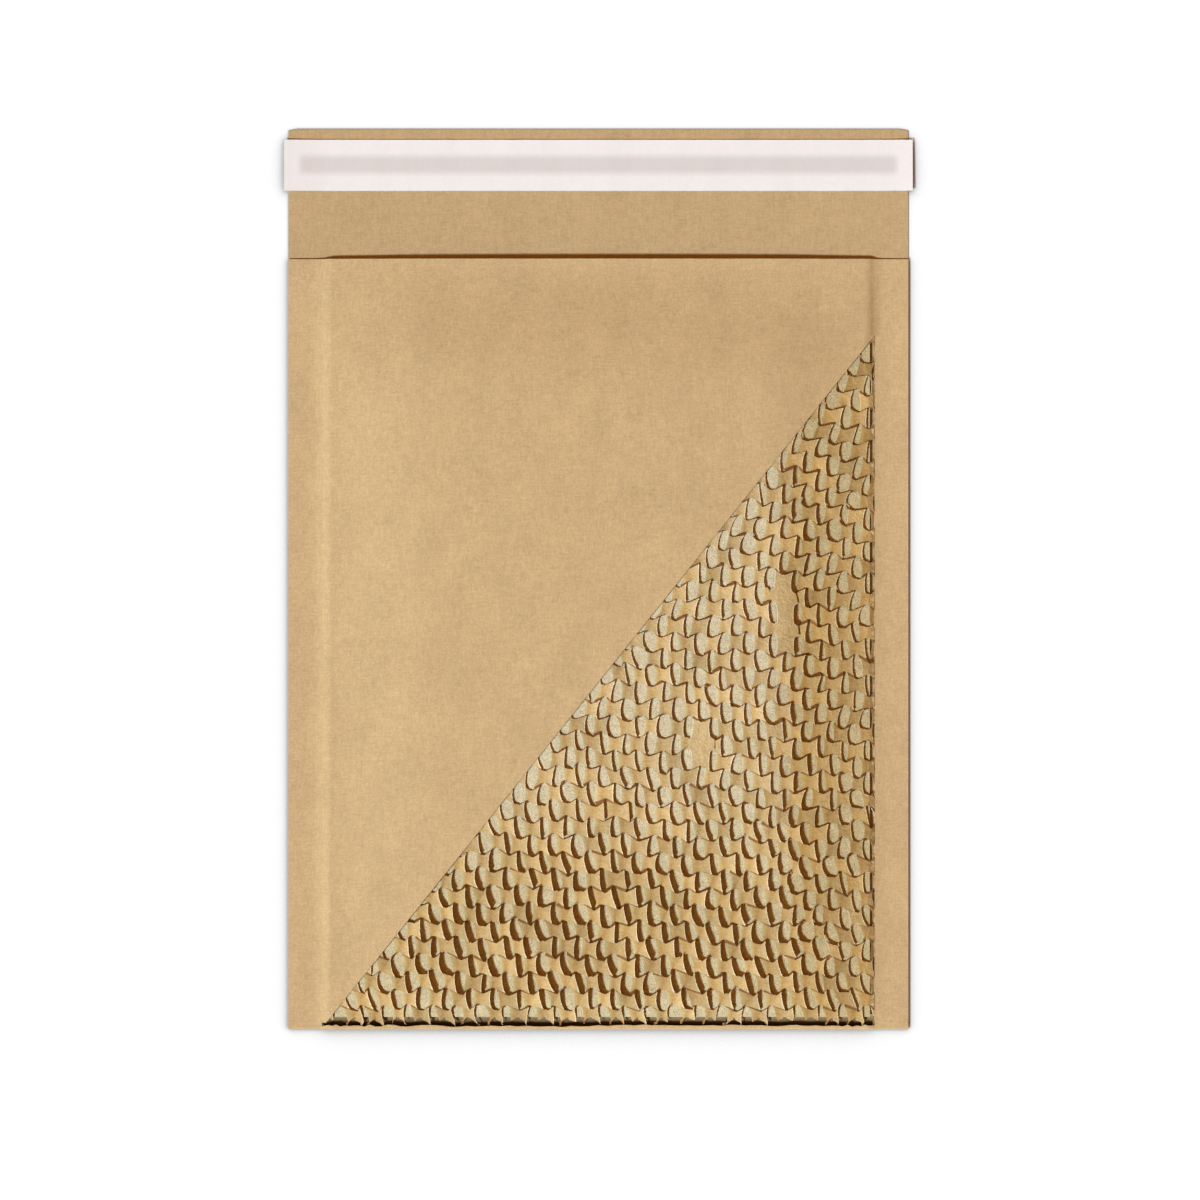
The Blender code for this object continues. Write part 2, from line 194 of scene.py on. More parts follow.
# Light
KEY_STRENGTH = 3.30
KEY_COLOUR = (0.885, 1.065, 1.18)
KEY_TOWARD = (-0.507, -0.457, 0.74)
FILL_STRENGTH = 0.20
FILL_TOWARD = (-0.35, 0.45, 1.0)
SKY_STRENGTH = 0.15
SKY_COLOUR = (1.50, 0.66, 0.14)


def photo_point(column, row):
    """Place on the floor of a pixel of the photograph."""
    return (column - PHOTO_MIDDLE_X) * METRES_PER_PIXEL, (PHOTO_MIDDLE_Y - row) * METRES_PER_PIXEL


def ease(value):
    """A smooth step from 0 to 1: 3 t squared less 2 t cubed."""
    t = np.clip(value, 0.0, 1.0)
    return t * t * (3 - 2 * t)


def scatter(row, column, salt):
    """A repeatable number from -1 to 1 for one place of the lattice."""
    value = np.sin(row * 12.9898 + column * 78.233 + salt * 37.719) * 43758.5453
    return 2 * (value - np.floor(value)) - 1


def near(spots, radius, x, y):
    """1 on a spot, falling smoothly to 0 at its radius."""
    best = np.zeros(np.broadcast(x, y).shape)
    for spot_x, spot_y in spots:
        distance = np.hypot(x - spot_x, y - spot_y)
        best = np.maximum(best, ease(2 - 2 * distance / radius))
    return best


def pad_depth(x, y):
    """Thickness of one pad: full in the middle, eased down along the seams, the fold and the mouth."""
    x, y = np.clip(x, -PAD_HALF, PAD_HALF), np.clip(y, PAD_BOTTOM_Y, PAD_TOP_Y)
    by_side = PAD_SIDE_SHARE + (1 - PAD_SIDE_SHARE) * ease((PAD_HALF - np.abs(x)) / PAD_SIDE_EASE)
    by_fold = ease((y - PAD_BOTTOM_Y) / PAD_EDGE_EASE)
    by_mouth = PAD_MOUTH_SHARE + (1 - PAD_MOUTH_SHARE) * ease((PAD_TOP_Y - y) / PAD_MOUTH_RUN)
    full = PAD_THICKNESS - PAD_EDGE_THICKNESS
    return PAD_EDGE_THICKNESS + full * by_mouth * np.minimum(by_side, by_fold)


def pocket_depth(x, y):
    """Open height of the pocket: one less a power of the share across, times a rise from the fold."""
    x, y = np.clip(x, -PAD_HALF, PAD_HALF), np.clip(y, PAD_BOTTOM_Y, PAD_TOP_Y)
    along = (y - PAD_BOTTOM_Y) / PAD_LENGTH
    crown = 1 - np.abs(x / PAD_HALF) ** POCKET_CROWN
    rise = 1 - (1 - along) ** 3
    mouth = 1 - (1 - POCKET_MOUTH_SHARE) * along ** 4
    return POCKET_HEIGHT * crown * rise * mouth


def from_slant(x, y):
    """Distance from the window's slanted edge, above zero on the window's side."""
    slope = (APEX_Y - BOTTOM_Y) / (2 * HALF_INSIDE)
    return (x - window_edge(y)) * slope / math.hypot(1, slope)


def comb_relief(x, y):
    """How far the comb is pulled open here: its height as a share of the pad's thickness.

    It is pulled open least toward the mouth, and fully near the fold and along the right seam. The
    window's slanted edge holds it flatter.
    """
    by_fold = ease((OPEN_BELOW_Y - y) / OPEN_RUN_Y)
    by_seam = ease((x - OPEN_RIGHT_X) / OPEN_RUN_X)
    pulled = LEAST_RELIEF + (1 - LEAST_RELIEF) * np.maximum(by_fold, by_seam)
    return pulled * (SLANT_RELIEF + (1 - SLANT_RELIEF) * ease(np.abs(from_slant(x, y)) / SLANT_RUN))


def liner_back(x, y):
    """Outer face of the liner's back leaf."""
    return SOLID_KRAFT + 2 * GAP + pad_depth(x, y)


def liner_front(x, y):
    """Outer face of the liner's front leaf, pushed up where the comb is less open."""
    pushed = (1 - comb_relief(x, y)) * pad_depth(x, y) * ease((PAD_HALF - np.abs(x)) / PAD_EDGE_EASE)
    free = liner_back(x, y) + 2 * SOLID_LINER + GAP + pocket_depth(x, y) + pushed
    return np.minimum(free, front_panel(x, y) - KRAFT - LEAST_PAD)


def front_pad_top(x, y):
    """Top of the front pad."""
    return liner_back(x, y) + 2 * SOLID_LINER + 2 * GAP + pocket_depth(x, y) + pad_depth(x, y)


def comb_floor(x, y):
    """Underside of the front pad."""
    return liner_front(x, y) + GAP / 2


def comb_height(x, y):
    """Height of the raised edges of the front pad over its underside, under the panel's inner face."""
    top = np.minimum(front_pad_top(x, y) + GAP / 2, front_panel(x, y) - KRAFT - GAP / 2)
    return top - SLIT_PAPER - comb_floor(x, y)


def front_panel(x, y):
    """Outer face of the front panel: flat on the glued margins, then eased up over the pad.

    It curls up a little along the window's slanted edge.
    """
    over_pad = front_pad_top(x, y) + GAP + SOLID_KRAFT
    climb = ease((HALF_INSIDE + CREASE_OUTSIDE - np.abs(x)) / (CREASE_RUN + CREASE_OUTSIDE))
    below_apex = ease((APEX_Y + SLANT_CURL_FADE - y) / SLANT_CURL_FADE)
    curl = SLANT_CURL * (1 - ease(np.abs(from_slant(x, y)) / SLANT_CURL_RUN)) * below_apex
    return SEAM_TOP + (over_pad + curl - SEAM_TOP) * climb


def window_edge(y):
    """X of the window's slanted edge."""
    foot = BOTTOM_Y + SEAM_TOP / 2
    return -HALF_INSIDE + 2 * HALF_INSIDE * (y - foot) / (APEX_Y - foot)


def grid_faces(rows, columns, start=0):
    """Squares of a grid of rows by columns vertices, turned so that rows run up and columns right."""
    corner = start + np.arange(rows - 1)[:, None] * columns + np.arange(columns - 1)[None, :]
    square = np.stack([corner, corner + 1, corner + columns + 1, corner + columns], axis=-1)
    return square.reshape(-1, 4)


def piece_from(name, parts, surfaces, wall=0.0, merge=1e-6):
    """Makes one object from grids of points, merges what coincides and gives it a wall inward."""
    points, faces, count = [], [], 0
    for grid in parts:
        rows, columns = grid.shape[:2]
        points.append(grid[..., :3].reshape(-1, 3))
        faces.append(grid_faces(rows, columns, count))
        count += rows * columns
    points, faces = np.concatenate(points), np.concatenate(faces)
    return mesh_piece(name, points, faces, surfaces, wall, merge)


def mesh_piece(name, points, faces, surfaces, wall=0.0, merge=1e-6, values=None):
    """Puts points and squares into a mesh, merges doubles, gives it a wall inward and shades it smooth."""
    mesh = bpy.data.meshes.new(name)
    mesh.vertices.add(len(points))
    mesh.vertices.foreach_set("co", points.astype(np.float32).ravel())
    mesh.loops.add(faces.size)
    mesh.loops.foreach_set("vertex_index", faces.astype(np.int32).ravel())
    mesh.polygons.add(len(faces))
    mesh.polygons.foreach_set("loop_start", np.arange(0, faces.size, 4, dtype=np.int32))
    mesh.update(calc_edges=True)
    mesh.validate()
    for label, value in (values or {}).items():
        mesh.attributes.new(label, "FLOAT", "POINT").data.foreach_set("value", value.astype(np.float32))
    work = bmesh.new()
    work.from_mesh(mesh)
    bmesh.ops.remove_doubles(work, verts=work.verts, dist=merge)
    bmesh.ops.dissolve_degenerate(work, edges=work.edges, dist=merge)
    loose = [vertex for vertex in work.verts if not vertex.link_faces]
    bmesh.ops.delete(work, geom=loose, context="VERTS")
    work.to_mesh(mesh)
    work.free()
    piece = bpy.data.objects.new(name, mesh)
    bpy.context.scene.collection.objects.link(piece)
    for surface in surfaces:
        mesh.materials.append(surface)
    if wall:
        solid = piece.modifiers.new("wall", "SOLIDIFY")
        solid.thickness = wall
        solid.offset = -1
        solid.material_offset = len(surfaces) - 1
        graph = bpy.context.evaluated_depsgraph_get()
        mesh = bpy.data.meshes.new_from_object(piece.evaluated_get(graph))
        piece.modifiers.clear()
        thin = piece.data
        piece.data = mesh
        bpy.data.meshes.remove(thin)
        mesh.name = name + "_walled"
    mesh.shade_smooth()
    mesh.set_sharp_from_angle(angle=math.radians(50))
    return piece


def stack(x, y, z):
    """Joins three arrays of one shape as points."""
    return np.stack(np.broadcast_arrays(x, y, z), axis=-1)


def fold_grid(x, turns):
    """The bottom fold: at each x a circular arc as tall as the envelope there, from the back panel up."""
    radius = front_panel(x, np.full_like(x, PAD_BOTTOM_Y)) / 2
    angle = turns[:, None]
    y = BOTTOM_Y + radius * (1 - np.sin(angle))
    return stack(x[None, :], y, radius * (1 - np.cos(angle)))


def make_sheet(surfaces):
    """Flap, back panel, fold and windowed front panel as grids that meet edge to edge.

    Across the front panel a row runs from the left edge to the window's slanted edge, and rows are
    close together near the fold, where the panel rises fastest.
    """
    margin = np.linspace(-HALF_WIDTH, -HALF_INSIDE, 5)
    inner = np.sin(np.linspace(-0.5, 0.5, 81) * math.pi) * 0.55 + np.linspace(-1, 1, 81) * 0.45
    inside = HALF_INSIDE * inner
    whole = np.concatenate([margin[:-1], inside, -margin[::-1][1:]])
    nip = ease((np.abs(whole) - (HALF_WIDTH - FLAP_NIP_ACROSS)) / FLAP_NIP_ACROSS)
    back_share = np.linspace(0, 1, 24)[:, None]
    fold_start = fold_grid(whole, np.array([0.0]))[0]
    tip = TIP_Y - FLAP_NIP_DOWN * nip
    back = stack(whole[None, :], tip + (fold_start[:, 1] - tip) * back_share, 0.0)
    lip = fold_grid(whole, np.linspace(0, LIP_ANGLE, 9))
    onward = np.linspace(0, 1, 4)[:, None]
    rag = LIP_RAG * sum(share * np.sin(whole * rate + turn) for share, rate, turn in LIP_RAG_WAVES)
    end_x, end_y, end_z = lip[-1].T
    onto = stack(end_x, end_y + onward * (LIP_LENGTH + rag), end_z + onward * LIP_RISE)
    onto = onto[:, np.abs(whole) < HALF_INSIDE + 1e-6]
    turns = np.linspace(LIP_ANGLE, math.pi, 6)
    left_fold, right_fold = fold_grid(margin, turns), fold_grid(-margin[::-1], turns)

    rows_y = np.concatenate([
        PAD_BOTTOM_Y + (APEX_Y - PAD_BOTTOM_Y) * np.linspace(0, 1, 121) ** 1.15,
        np.linspace(APEX_Y, MOUTH_Y, 17)[1:],
    ])[:, None]
    share = (inner[None, :] + 1) / 2
    end = np.where(rows_y < APEX_Y, window_edge(rows_y), HALF_INSIDE)
    panel_x = -HALF_INSIDE + (end + HALF_INSIDE) * share
    panel = stack(panel_x, rows_y, front_panel(panel_x, rows_y))
    left = stack(margin[None, :], rows_y, front_panel(margin[None, :], rows_y))
    right_x = -margin[::-1][None, :]
    right = stack(right_x, rows_y, front_panel(right_x, rows_y))
    grids = [back, lip, onto, left_fold, right_fold, left, right, panel]
    for last, first in ((left_fold[-1], left[0]), (right_fold[-1], right[0])):
        grids.append(np.stack([last, first]))
    return piece_from("kraft_sheet", grids, surfaces, wall=KRAFT, merge=2e-5)


def closed_cells(column, row):
    """1 at the slits that never opened, and 0.8 at the bonds above and below each of them."""
    shut = np.zeros(np.broadcast(column, row).shape)
    for spot_x, spot_y in FLAT_SPOTS:
        across = (spot_x + PAD_HALF) / (2 * PAD_HALF)
        unsagged = (spot_y + ROW_SAG * across ** 2 * -PAD_BOTTOM_Y / PAD_LENGTH)
        unsagged = unsagged / (1 - ROW_SAG * across ** 2 / PAD_LENGTH)
        spot_row = round((unsagged - PAD_BOTTOM_Y - LAND_LENGTH / 2) / ROW_PITCH)
        spot_column = (spot_x + PAD_HALF) / (CELL_PITCH / 2)
        spot_column = 2 * round((spot_column - (spot_row + 1) % 2) / 2) + (spot_row + 1) % 2
        here = column == spot_column
        shut = np.where(here & (row == spot_row), 1.0, shut)
        shut = np.where(here & (abs(row - spot_row) == 1), 0.8, shut)
    return shut


def land_place(column, row):
    """How far aside a bond stands from its column. It is zero at the slits that never opened."""
    cell = (column - row % 2) / 2
    loose = np.where(closed_cells(column, row) > 0, 0.0, LAND_PLACE_SCATTER)
    return loose * scatter(row, cell, 1)


def comb_lattice():
    """Sizes of every strand of slit paper at every row, as arrays of strands by rows.

    Slits stand in columns half a cell apart. A strand between two columns is bonded in turn to its
    left neighbour, where it is the raised right half of a land, and to its right neighbour, where it
    is the low left half. The arrays give how far its free edge is pulled from the slit's column, and
    how high its left and right edges stand.
    """
    last = int(2 * PAD_HALF / STEP) + 2
    rows = int((PAD_LENGTH - LAND_LENGTH) / ROW_PITCH) + 1
    row = np.arange(-1, rows + 1)[None, :]
    strand = np.arange(-1, last)[:, None]
    bonded_left = (strand + row) % 2 == 0
    column = strand + np.where(bonded_left, 0, 1)
    slit = strand + np.where(bonded_left, 1, 0)
    cell = (column - row % 2) / 2
    x = -PAD_HALF + column * STEP
    y = PAD_BOTTOM_Y + LAND_LENGTH / 2 + row * ROW_PITCH
    across = (x + PAD_HALF) / (2 * PAD_HALF)
    place_y = y - ROW_SAG * across ** 2 * (y - PAD_BOTTOM_Y) / PAD_LENGTH
    half = LAND_WIDTH / 2 * (1 + LAND_WIDTH_SCATTER * scatter(row, cell, 2))
    half = half * (1 + (OPEN_LAND_SHARE - 1) * near(OPEN_SPOTS, OPEN_RADIUS, x, place_y))
    half = half * (1 + (TIGHT_LAND_SHARE - 1) * near(TIGHT_SPOTS, TIGHT_RADIUS, x, place_y))
    pulled = STEP - half - np.where(bonded_left, 1.0, -1.0) * land_place(column, row)

    stood = np.clip(scatter(row, cell, 4) * 2.2 - 1.1, 0, 1)
    foot = STOOD_FOOT * stood + RIGHT_STAND * ease((x - RIGHT_FROM) / RIGHT_RUN)
    foot = np.clip(foot * (0.7 + 0.6 * scatter(row, cell, 5)), 0.0, HIGHEST_FOOT)
    top = TOP_SHARE + TOP_SCATTER * scatter(row, cell, 3)
    middle = foot + (top - foot) * (MIDDLE_SHARE + MIDDLE_SCATTER * scatter(row, cell, 6))
    low = np.where(bonded_left, middle, foot)
    high = np.where(bonded_left, top, middle)

    shut = np.maximum(closed_cells(column, row), closed_cells(slit, row))
    pulled = np.where(shut > 0.5, STEP - SHUT_WIDTH * STRAND_WIDTH, pulled)
    pulled = np.where(closed_cells(slit, row) > 0.9, 0.0, pulled)
    low = np.where(shut > 0.5, SHUT_HEIGHT, low)
    high = np.where(shut > 0.5, SHUT_HEIGHT, high)
    noise = [np.where(shut > 0.5, 0.0, scatter(row, cell, salt)) for salt in (7, 8, 9)]
    return pulled, low, high, y + 0 * low, bonded_left, noise, shut, strand, row


def drift(along, across, phase):
    """Slow unevenness of the pulled paper: two crossing waves, under a millimetre high."""
    first = np.sin(2 * math.pi * (along / LONG_DRIFT[0] + across / LONG_DRIFT[1]) + phase)
    second = np.sin(2 * math.pi * (along / SHORT_DRIFT[0] - across / SHORT_DRIFT[1]) + 2.1 * phase)
    return DRIFT * (0.6 * first + 0.4 * second)


def hole_share(offset):
    """Half width of a pulled-open slit, as a share: a rounded oblong, 1 less a power of the offset."""
    return np.clip(1 - np.abs(offset / HOLE_HALF) ** HOLE_SQUARENESS, 0, 1) ** (1 / HOLE_SQUARENESS)


def seam_lines(strand, row, shift, blend):
    """X of every column at every line, and how far along its slit or bond each line is.

    The second array rises from end to end of a slit and falls back over the bond, so that slits lean
    and bonds stay joined.
    """
    column = np.append(strand[:, 0], strand[-1, 0] + 1)[:, None]
    open_here = (column + row) % 2 == 1
    place = np.where(open_here, 0.0, land_place(column, row))
    place = place[:, :-1, None] * (1 - blend) + place[:, 1:, None] * blend
    back = HOLE_HALF / (ROW_PITCH - HOLE_HALF)

    def in_slit(run):
        return np.where(run <= HOLE_HALF, run, HOLE_HALF - (run - HOLE_HALF) * back)

    local = np.where(open_here[:, :-1, None], in_slit(shift), -in_slit(ROW_PITCH - shift))
    seam = -PAD_HALF + column[..., None] * STEP + place
    count = seam.shape[0]
    return seam.reshape(count, -1), local.reshape(count, -1), open_here


def comb_strands(across, lines, floor, height, wanted):
    """Slit paper pulled open, as squares of every wanted strand and row.

    lines are distances along Y from one row to the next. Each edge of a strand follows the column
    it is bonded to, and bows away from it by hole_share wherever the slit there is open. Between two
    rows the strand eases from high to low or back. The line between two rows waves along Y. At the
    fold the strands end in notched and tapered tips.
    """
    pulled, low, high, y, bonded_left, (tone, slant, rise), shut, strand, row = comb_lattice()
    shift = np.array(lines)
    turn = np.clip((shift - TURN_FROM) / (TURN_TO - TURN_FROM), 0, 1)
    blend = ease(turn)
    strands, rows = pulled.shape
    along = (rows - 1) * len(shift)

    def carried(values):
        """Row values eased from each land to the next along the strand."""
        start, end = values[:, :-1, None], values[:, 1:, None]
        return (start * (1 - blend) + end * blend).reshape(strands, along)

    this_slit = pulled[:, :-1, None] * hole_share(shift)
    next_slit = pulled[:, 1:, None] * hole_share(ROW_PITCH - shift)
    first_half = bonded_left[:, :-1, None]
    free_left = np.where(first_half, next_slit, this_slit).reshape(strands, along)
    free_right = np.where(first_half, this_slit, next_slit).reshape(strands, along)
    base = (y[:, :-1, None] + shift).reshape(strands, along)
    under = PAD_BOTTOM_Y + LAND_LENGTH / 2 - base
    notch = TIP_NOTCH * ease((under - NOTCH_FROM) / NOTCH_RUN)
    free_left = free_left + notch * bonded_left[:, 1:2]
    free_right = free_right + notch * ~bonded_left[:, 1:2]
    shrunk = np.minimum(1, (1 - LEAST_STRAND) * STEP / np.maximum(free_left + free_right, 1e-9))
    free_left, free_right = free_left * shrunk, free_right * shrunk

    up = np.clip((base - PAD_BOTTOM_Y) / PAD_LENGTH, 0, 1)
    lean = LEAN_AT_FOLD + (LEAN_AT_MOUTH - LEAN_AT_FOLD) * up + LEAN_SCATTER * carried(slant)
    seam, local, open_here = seam_lines(strand, row, shift, blend)
    edge_left = seam[:-1] + lean * local[:-1] + free_left
    edge_right = seam[1:] + lean * local[1:] - free_right
    t = np.array(across)
    width = len(t)
    x = edge_left[..., None] * (1 - t) + edge_right[..., None] * t
    share = carried(low)[..., None] * (1 - t) + carried(high)[..., None] * t
    wave_side = np.where(open_here[:, :-1, None], 1.0, -1.0)
    column_sway = wave_side * WAIST * np.sin(math.pi * shift / ROW_PITCH) ** 2
    column_sway = column_sway.reshape(len(seam), along)
    turned = (1 + np.cos(math.pi * t)) / 2
    sway = column_sway[:-1, :, None] * turned + column_sway[1:, :, None] * (1 - turned)
    level = (base + EDGE_SCATTER * carried(rise))[..., None] + sway
    across_share = np.clip((x + PAD_HALF) / (2 * PAD_HALF), 0, 1)
    py = level - ROW_SAG * across_share ** 2 * (level - PAD_BOTTOM_Y) / PAD_LENGTH
    bent = np.clip(share, 0, 1)
    bent = bent + LAND_BEND * (bent * bent * (3 - 2 * bent) - bent)
    x, py = x + drift(py, x, 0.0), py + drift(x, py, 1.3) * ease((py - PAD_BOTTOM_Y) / 0.02)
    tip = TIP_SHORTEST + (TIP_LONGEST - TIP_SHORTEST) * (0.5 + 0.5 * scatter(strand, 3.0, 11))
    above_tip = tip - under
    taper = np.clip(above_tip / TIP_TAPER, 0.05, 1)[..., None]
    x = x * taper + (x[..., :1] + x[..., -1:]) / 2 * (1 - taper)
    side = HALF_INSIDE - COMB_SIDE_GAP
    x = np.clip(x, -side, side)
    points = stack(x, py, floor(x, py) + SLIT_PAPER + height(x, py) * bent)
    kept = (above_tip > 0)[..., None] & (py < PAD_TOP_Y)
    start = (np.arange(strands)[:, None, None] * along + np.arange(along - 1)[None, :, None]) * width
    corner = start + np.arange(width - 1)[None, None, :]
    faces = np.stack([corner, corner + 1, corner + width + 1, corner + width], axis=-1)
    keep = wanted(x[:, :-1, :-1], py[:, :-1, :-1])
    keep = keep & kept[:, :-1, :-1] & kept[:, 1:, :-1] & kept[:, :-1, 1:] & kept[:, 1:, 1:]
    # Painted highlight mask: cut edges, only where they stand high.
    high_edge = ease((share - 0.3) / 0.4)
    cut_left = np.clip(free_left / CUT_SHOWN, 0, 1)[..., None] * (t < 0.01)
    cut_right = np.clip(free_right / CUT_SHOWN, 0, 1)[..., None] * (t > 0.99)
    # Painted shade mask for the creases between rows: full on turns facing away from the key, 0.6 on the
    # others, none at shut slits.
    fold = np.sqrt(np.sin(math.pi * turn)) * np.where(first_half, 1.0, 0.6)
    fold = fold * (np.minimum(shut[:, :-1, None], shut[:, 1:, None]) < 0.5)
    painted_crease_shade = fold.reshape(strands, along)[..., None] + 0 * share
    values = {"lift": share, "painted_rim_highlight": (cut_left + cut_right) * high_edge, "painted_crease_shade": painted_crease_shade}
    values["tone"] = carried(tone)[..., None] + 0 * share
    values = {name: value.reshape(-1) for name, value in values.items()}
    return points.reshape(-1, 3), faces[keep].reshape(-1, 4), values


def bared(x, y):
    """Whether a place lies in the window or within a margin of it."""
    return (x > window_edge(y) - BARED_MARGIN) & (y < APEX_Y + BARED_MARGIN)


def make_comb(surfaces):
    """The bared part of the front pad in full detail, and the covered part with few faces."""
    fine = comb_strands((0, 0.14, 0.86, 1), FINE_LINES, comb_floor, comb_height, bared)
    plain = comb_strands((0, 1), COARSE_LINES, comb_floor, comb_height, lambda x, y: ~bared(x, y))
    count = len(fine[0])
    points = np.concatenate([fine[0], plain[0]])
    faces = np.concatenate([fine[1], plain[1] + count])
    values = {name: np.concatenate([fine[2][name], plain[2][name]]) for name in fine[2]}
    return mesh_piece("honeycomb_paper", points, faces, surfaces, SLIT_PAPER, 2e-5, values)


def make_back_comb(surfaces):
    """The back pad: the same slit paper between the back panel and the liner, with few faces."""
    def floor(x, y):
        return SOLID_KRAFT + GAP + 0 * x

    def height(x, y):
        return pad_depth(x, y) - 2 * SLIT_PAPER

    def above_fold(x, y):
        return y > PAD_BOTTOM_Y + BACK_COMB_INSET

    points, faces, values = comb_strands((0, 1), COARSE_LINES, floor, height, above_fold)
    return mesh_piece("honeycomb_paper_back", points, faces, surfaces, SLIT_PAPER, 2e-5, values)


def make_liner(surfaces):
    """The thin pocket: back leaf, small round fold and front leaf, with soft creases."""
    foot = PAD_BOTTOM_Y + LINER_BOTTOM_INSET
    x = np.linspace(-PAD_HALF, PAD_HALF, 141)
    y = np.linspace(foot + LINER_FOLD_RUN, MOUTH_Y - LINER_MOUTH_INSET, 161)[:, None]
    back = stack(x[None, :], y[::-1], liner_back(x[None, :], y[::-1]))
    front = stack(x[None, :], y, liner_front(x[None, :], y))
    low, high = back[-1], front[0]
    angle = np.linspace(0, math.pi, 7)[:, None]
    radius = (high[:, 2] - low[:, 2]) / 2
    fold_y = low[:, 1] - LINER_FOLD_BULGE * np.sin(angle)
    fold = stack(x[None, :], fold_y, low[:, 2] + radius * (1 - np.cos(angle)))
    return piece_from("liner_paper", [back, fold, front], surfaces, wall=LINER, merge=2e-6)


def make_release_strip(surfaces):
    """The white strip over the flap's adhesive: level on it, and curled up a little at both ends.

    Past the flat part the curl is the square of the share of its length. Two slow waves along the
    strip, a few hundredths of a millimetre high, keep it from looking like a plate.
    """
    x = np.linspace(strip_low[0], strip_high[0], 241)[None, :]
    y = np.linspace(strip_low[1], strip_high[1], 17)[:, None]
    curl = np.clip((np.abs(x) - (strip_high[0] - RELEASE_CURL_LENGTH)) / RELEASE_CURL_LENGTH, 0, 1) ** 2
    across = (y - strip_low[1]) / (strip_high[1] - strip_low[1])
    wave = sum(size * np.sin(x * 2 * math.pi / run + turn * across) for size, run, turn in RELEASE_WAVES)
    z = tack_high[2] + RELEASE_WALL + RELEASE_LIFT + RELEASE_CURL * curl * (1.1 - 0.5 * across) + wave
    return piece_from("release_paper", [stack(x, y, z)], surfaces, wall=RELEASE_WALL, merge=1e-6)


def put(tree, kind, values=(), **settings):
    """Adds a shader node, sets its properties, and fills or links its inputs by name or number."""
    made = tree.nodes.new("ShaderNode" + kind)
    for key, value in settings.items():
        setattr(made, key, value)
    for key, value in dict(values).items():
        if isinstance(value, bpy.types.NodeSocket):
            tree.links.new(value, made.inputs[key])
        else:
            made.inputs[key].default_value = value
    return made


def sums(tree, operation, first, second=0.5, third=0.5):
    """One Math node's result."""
    return put(tree, "Math", {0: first, 1: second, 2: third}, operation=operation).outputs[0]


def blended(tree, amount, first, second):
    """Two colours mixed by an amount from 0 to 1."""
    mix = put(tree, "Mix", {"Factor": amount, 6: first, 7: second}, data_type="RGBA")
    return mix.outputs[2]


def group_with(name, inputs, outputs):
    """An empty shader node group with its named inputs (name, type, value) and outputs (name, type)."""
    group = bpy.data.node_groups.new(name, "ShaderNodeTree")
    for label, kind, value in inputs:
        made = group.interface.new_socket(name=label, in_out="INPUT", socket_type="NodeSocket" + kind)
        if value is not None:
            made.default_value = value
    for label, kind in outputs:
        group.interface.new_socket(name=label, in_out="OUTPUT", socket_type="NodeSocket" + kind)
    return group, group.nodes.new("NodeGroupInput"), group.nodes.new("NodeGroupOutput")


def stretched(tree, place, across, along, detail=2.0, seed=0.0):
    """Noise whose features are stretched: across and along are features per metre in X and Y."""
    scale = (across, along, across)
    moved = put(tree, "Mapping", {"Vector": place, "Location": (seed, seed, seed), "Scale": scale})
    noise = put(tree, "TexNoise", {"Vector": moved.outputs[0], "Scale": 1.0, "Detail": detail})
    return sums(tree, "SUBTRACT", noise.outputs["Fac"], 0.5)


def make_fibre_group():
    """Paper fibres: a fine weave of upright and level strokes, soft mottling and broad upright bands.

    Shade is 1 plus the strokes, mottling and bands, each times its own strength.
    """
    group, start, end = group_with(
        "paper_fibres",
        (
            ("Place", "Vector", None), ("Strokes", "Float", 0.1),
            ("Mottle", "Float", 0.1), ("Bands", "Float", 0.1),
        ),
        (("Shade", "Float"), ("Height", "Float")),
    )
    place = start.outputs["Place"]
    upright = stretched(group, place, 1500, 240, 3.0, 0.3)
    level = stretched(group, place, 240, 1500, 3.0, 1.7)
    grain = stretched(group, place, 1350, 1350, 3.0, 6.7)
    strokes = sums(group, "MULTIPLY_ADD", sums(group, "ADD", upright, level), 0.55, grain)
    small = stretched(group, place, 420, 300, 2.0, 2.9)
    large = stretched(group, place, 75, 45, 2.0, 4.1)
    mottle = sums(group, "ADD", small, large)
    bands = stretched(group, place, 62, 3, 1.0, 5.3)
    shade = sums(group, "MULTIPLY_ADD", strokes, start.outputs["Strokes"], 1.0)
    shade = sums(group, "MULTIPLY_ADD", mottle, start.outputs["Mottle"], shade)
    shade = sums(group, "MULTIPLY_ADD", bands, start.outputs["Bands"], shade)
    group.links.new(shade, end.inputs["Shade"])
    group.links.new(strokes, end.inputs["Height"])
    return group


def make_fleck_group():
    """Rare flecks: round spots in some cells of a Voronoi pattern. Mask is 1 inside a fleck."""
    group, start, end = group_with(
        "paper_flecks",
        (
            ("Place", "Vector", None), ("Per metre", "Float", 60.0),
            ("Size", "Float", 0.05), ("Rarity", "Float", 0.8),
        ),
        (("Mask", "Float"),),
    )
    spread = {"Vector": start.outputs["Place"], "Scale": start.outputs["Per metre"]}
    cells = put(group, "TexVoronoi", spread)
    pick = put(group, "SeparateColor", {0: cells.outputs["Color"]})
    chosen = sums(group, "GREATER_THAN", pick.outputs[0], start.outputs["Rarity"])
    size = sums(group, "MULTIPLY", start.outputs["Size"], pick.outputs[1])
    core = sums(group, "MULTIPLY", size, 0.5)
    reach = {"Value": cells.outputs["Distance"], "From Min": size, "From Max": core}
    near_it = put(group, "MapRange", reach, interpolation_type="SMOOTHSTEP")
    mask = sums(group, "MULTIPLY", near_it.outputs[0], chosen)
    group.links.new(mask, end.inputs["Mask"])
    return group


